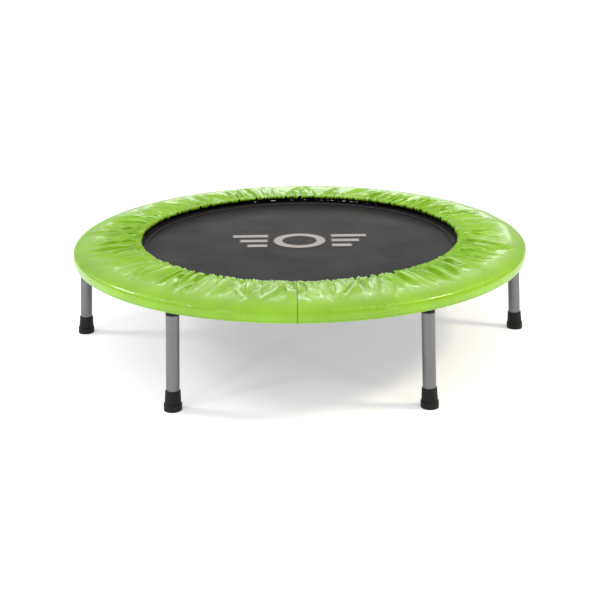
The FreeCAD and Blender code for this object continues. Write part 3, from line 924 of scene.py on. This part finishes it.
def make_stage(settings):
    deselect_everything()
    bpy.ops.mesh.primitive_plane_add(size=30, location=(0, 0, 0))
    floor = bpy.context.object
    floor.name = "floor"
    material, tree, shader = new_material("pale_floor")
    shader.inputs["Base Color"].default_value = (0.9, 0.9, 0.9, 1)
    shader.inputs["Roughness"].default_value = 0.9
    shader.inputs["Emission Color"].default_value = (1, 1, 1, 1)
    shader.inputs["Emission Strength"].default_value = 0.4
    give(floor, material)

    world = bpy.context.scene.world or bpy.data.worlds.new("studio")
    bpy.context.scene.world = world
    world.use_nodes = True
    tree = world.node_tree
    direction = node(tree, "ShaderNodeSeparateXYZ")
    tree.links.new(node(tree, "ShaderNodeTexCoord").outputs["Generated"], direction.inputs["Vector"])
    sides = maths(tree, "ABSOLUTE", direction.outputs["X"], 0)
    glow = maths(tree, "SUBTRACT", spread(tree, direction.outputs["Z"], 0.40, 1.0, (0, 0.8)),
                 spread(tree, sides, 0.0, 0.5, (0.3, 0.95)))
    background = tree.nodes["Background"]
    background.inputs["Color"].default_value = (1, 1, 1, 1)
    seen = node(tree, "ShaderNodeLightPath").outputs["Is Camera Ray"]
    strength = maths(tree, "MAXIMUM", maths(tree, "MAXIMUM", glow, 0.0), seen)
    tree.links.new(strength, background.inputs["Strength"])
    bpy.context.scene.view_settings.view_transform = "Standard"

    # Name, place, width and height, colour, watts
    lights = (
        ("key_light", (-2.2, 0.2, 1.4), (0.5, 0.5), (1, 1, 1), 20),
        ("warm_light", (1.7, -0.4, 1.7), (0.4, 0.4), (1, 0.9, 0.66), 22),
        ("back_light", (0.1, 2.9, 0.9), (2.2, 0.45), (1, 1, 1), 11),
        ("left_strip", (-1.5, -2.4, 0.7), (0.25, 1.2), (1, 1, 1), 9),
        ("right_strip", (1.9, -2.2, 0.7), (0.2, 1.2), (1, 1, 1), 7),
        ("left_glint", (-1.66, -1.29, 1.29), (0.12, 0.12), (1, 1, 1), 4),
    )
    for name, place, (width, height), colour, power in lights:
        bpy.ops.object.light_add(type="AREA", location=place)
        light = bpy.context.object
        light.name = name
        light.data.shape = "RECTANGLE"
        light.data.size = width
        light.data.size_y = height
        light.data.color = colour
        light.data.energy = power
        light.rotation_euler = (Vector((0, 0, 0.2)) - light.location).to_track_quat("-Z", "Y").to_euler()

    bpy.ops.object.camera_add()
    camera = bpy.context.object
    tilt = Matrix.Rotation(math.pi / 2 - settings.elevation, 4, "X") @ Matrix.Rotation(settings.roll, 4, "Z")
    away = Vector((0, -math.cos(settings.elevation), math.sin(settings.elevation)))
    place = Vector((0, 0, settings.target)) + away * settings.distance
    camera.matrix_world = Matrix.Translation(place) @ tilt
    camera.data.lens = settings.lens
    camera.data.sensor_width = 36
    camera.data.shift_y = settings.shift
    bpy.context.scene.camera = camera


# Operators

class TRAMPOLINE_OT_foam(bpy.types.Operator):
    """Make the foam ring and the backing cloth under it"""

    bl_idname = "trampoline.foam"
    bl_label = "Foam and backing"

    def execute(self, context):
        make_foam(context.scene.trampoline_cover)
        make_backing(context.scene.trampoline_cover, context.scene.trampoline_colours)
        return {"FINISHED"}


class TRAMPOLINE_OT_cover(bpy.types.Operator):
    """Make the gathered vinyl cover"""

    bl_idname = "trampoline.cover"
    bl_label = "Vinyl cover"

    def execute(self, context):
        make_cover(context.scene.trampoline_cover, context.scene.trampoline_colours)
        return {"FINISHED"}


class TRAMPOLINE_OT_mat(bpy.types.Operator):
    """Make the jumping mat, its webbing band and its stitches"""

    bl_idname = "trampoline.mat"
    bl_label = "Jumping mat"

    def execute(self, context):
        sizes, colours = context.scene.trampoline_mat, context.scene.trampoline_colours
        make_mat(colours)
        make_band(sizes, colours)
        top = MAT_HIGH + sizes.band_layer + 0.0001
        inner = WEBBING_RADIUS - sizes.band_width
        thread = thread_material("grey_thread", (0.10, 0.10, 0.105))
        for index, share in enumerate((0.06, 0.12, 0.42), start=1):
            radius = inner + sizes.band_width * share
            name = f"band_stitches_{index}"
            stitches = stitch_ring(name, radius, top, sizes.stitch, sizes.thread, thread, "mat")
        return {"FINISHED"}


class TRAMPOLINE_OT_print(bpy.types.Operator):
    """Print the plain mark on the mat"""

    bl_idname = "trampoline.print"
    bl_label = "Mat print"

    def execute(self, context):
        make_print(context.scene.trampoline_mat, context.scene.trampoline_colours)
        return {"FINISHED"}


class TRAMPOLINE_OT_springs(bpy.types.Operator):
    """Make the springs"""

    bl_idname = "trampoline.springs"
    bl_label = "Springs"

    def execute(self, context):
        make_springs(context.scene.trampoline_springs, context.scene.trampoline_colours)
        return {"FINISHED"}


class TRAMPOLINE_OT_finishes(bpy.types.Operator):
    """Give the frame's own parts their finishes"""

    bl_idname = "trampoline.finishes"
    bl_label = "Frame finishes"

    def execute(self, context):
        colours = context.scene.trampoline_colours
        steel = metal_material("satin_steel", colours.steel, 0.31, metallic=0.88)
        zinc = metal_material("plated_zinc", colours.zinc, 0.3)
        rubber = moulded_material("black_rubber", colours.black, 0.55, 500)
        plastic = moulded_material("black_plastic", colours.black, 0.42, 1100)
        elastic = woven_material("black_elastic", colours.webbing, 0.0009, 0.75)
        finishes = {
            steel: ("ring_tube", "leg_tube"),
            zinc: ("leg_stud", "leg_insert", "v_rings"),
            rubber: ("foot",),
            plastic: ("leg_spacer",),
            elastic: ("hem_elastic", "skirt_elastic"),
        }
        for material, prefixes in finishes.items():
            for prefix in prefixes:
                finish_nodes(prefix, material)
        return {"FINISHED"}


class TRAMPOLINE_OT_stage(bpy.types.Operator):
    """Set up the floor, the light and the camera"""

    bl_idname = "trampoline.stage"
    bl_label = "Stage"

    def execute(self, context):
        make_stage(context.scene.trampoline_stage)
        return {"FINISHED"}


STEPS = (TRAMPOLINE_OT_stage, TRAMPOLINE_OT_foam, TRAMPOLINE_OT_cover, TRAMPOLINE_OT_mat, TRAMPOLINE_OT_print,
         TRAMPOLINE_OT_springs, TRAMPOLINE_OT_finishes)


class TRAMPOLINE_PT_panel(bpy.types.Panel):
    """Lists the steps that make the trampoline"""

    bl_label = "Trampoline"
    bl_idname = "TRAMPOLINE_PT_panel"
    bl_space_type = "VIEW_3D"
    bl_region_type = "UI"
    bl_category = "Trampoline"

    def draw(self, context):
        for step in STEPS:
            self.layout.operator(step.bl_idname)


GROUPS = {
    "trampoline_cover": CoverSizes,
    "trampoline_mat": MatSizes,
    "trampoline_springs": SpringSizes,
    "trampoline_stage": StageSettings,
    "trampoline_colours": Colours,
}


def register():
    for group in GROUPS.values():
        bpy.utils.register_class(group)
    for step in (*STEPS, TRAMPOLINE_PT_panel):
        bpy.utils.register_class(step)
    for name, group in GROUPS.items():
        setattr(bpy.types.Scene, name, PointerProperty(type=group))


def unregister():
    for name in GROUPS:
        delattr(bpy.types.Scene, name)
    for step in (TRAMPOLINE_PT_panel, *reversed(STEPS)):
        bpy.utils.unregister_class(step)
    for group in reversed(list(GROUPS.values())):
        bpy.utils.unregister_class(group)


def main():
    register()
    bpy.ops.trampoline.stage()
    bpy.ops.trampoline.foam()
    bpy.ops.trampoline.cover()
    bpy.ops.trampoline.mat()
    bpy.ops.trampoline.print()
    bpy.ops.trampoline.springs()
    bpy.ops.trampoline.finishes()


if __name__ == "__main__":
    main()
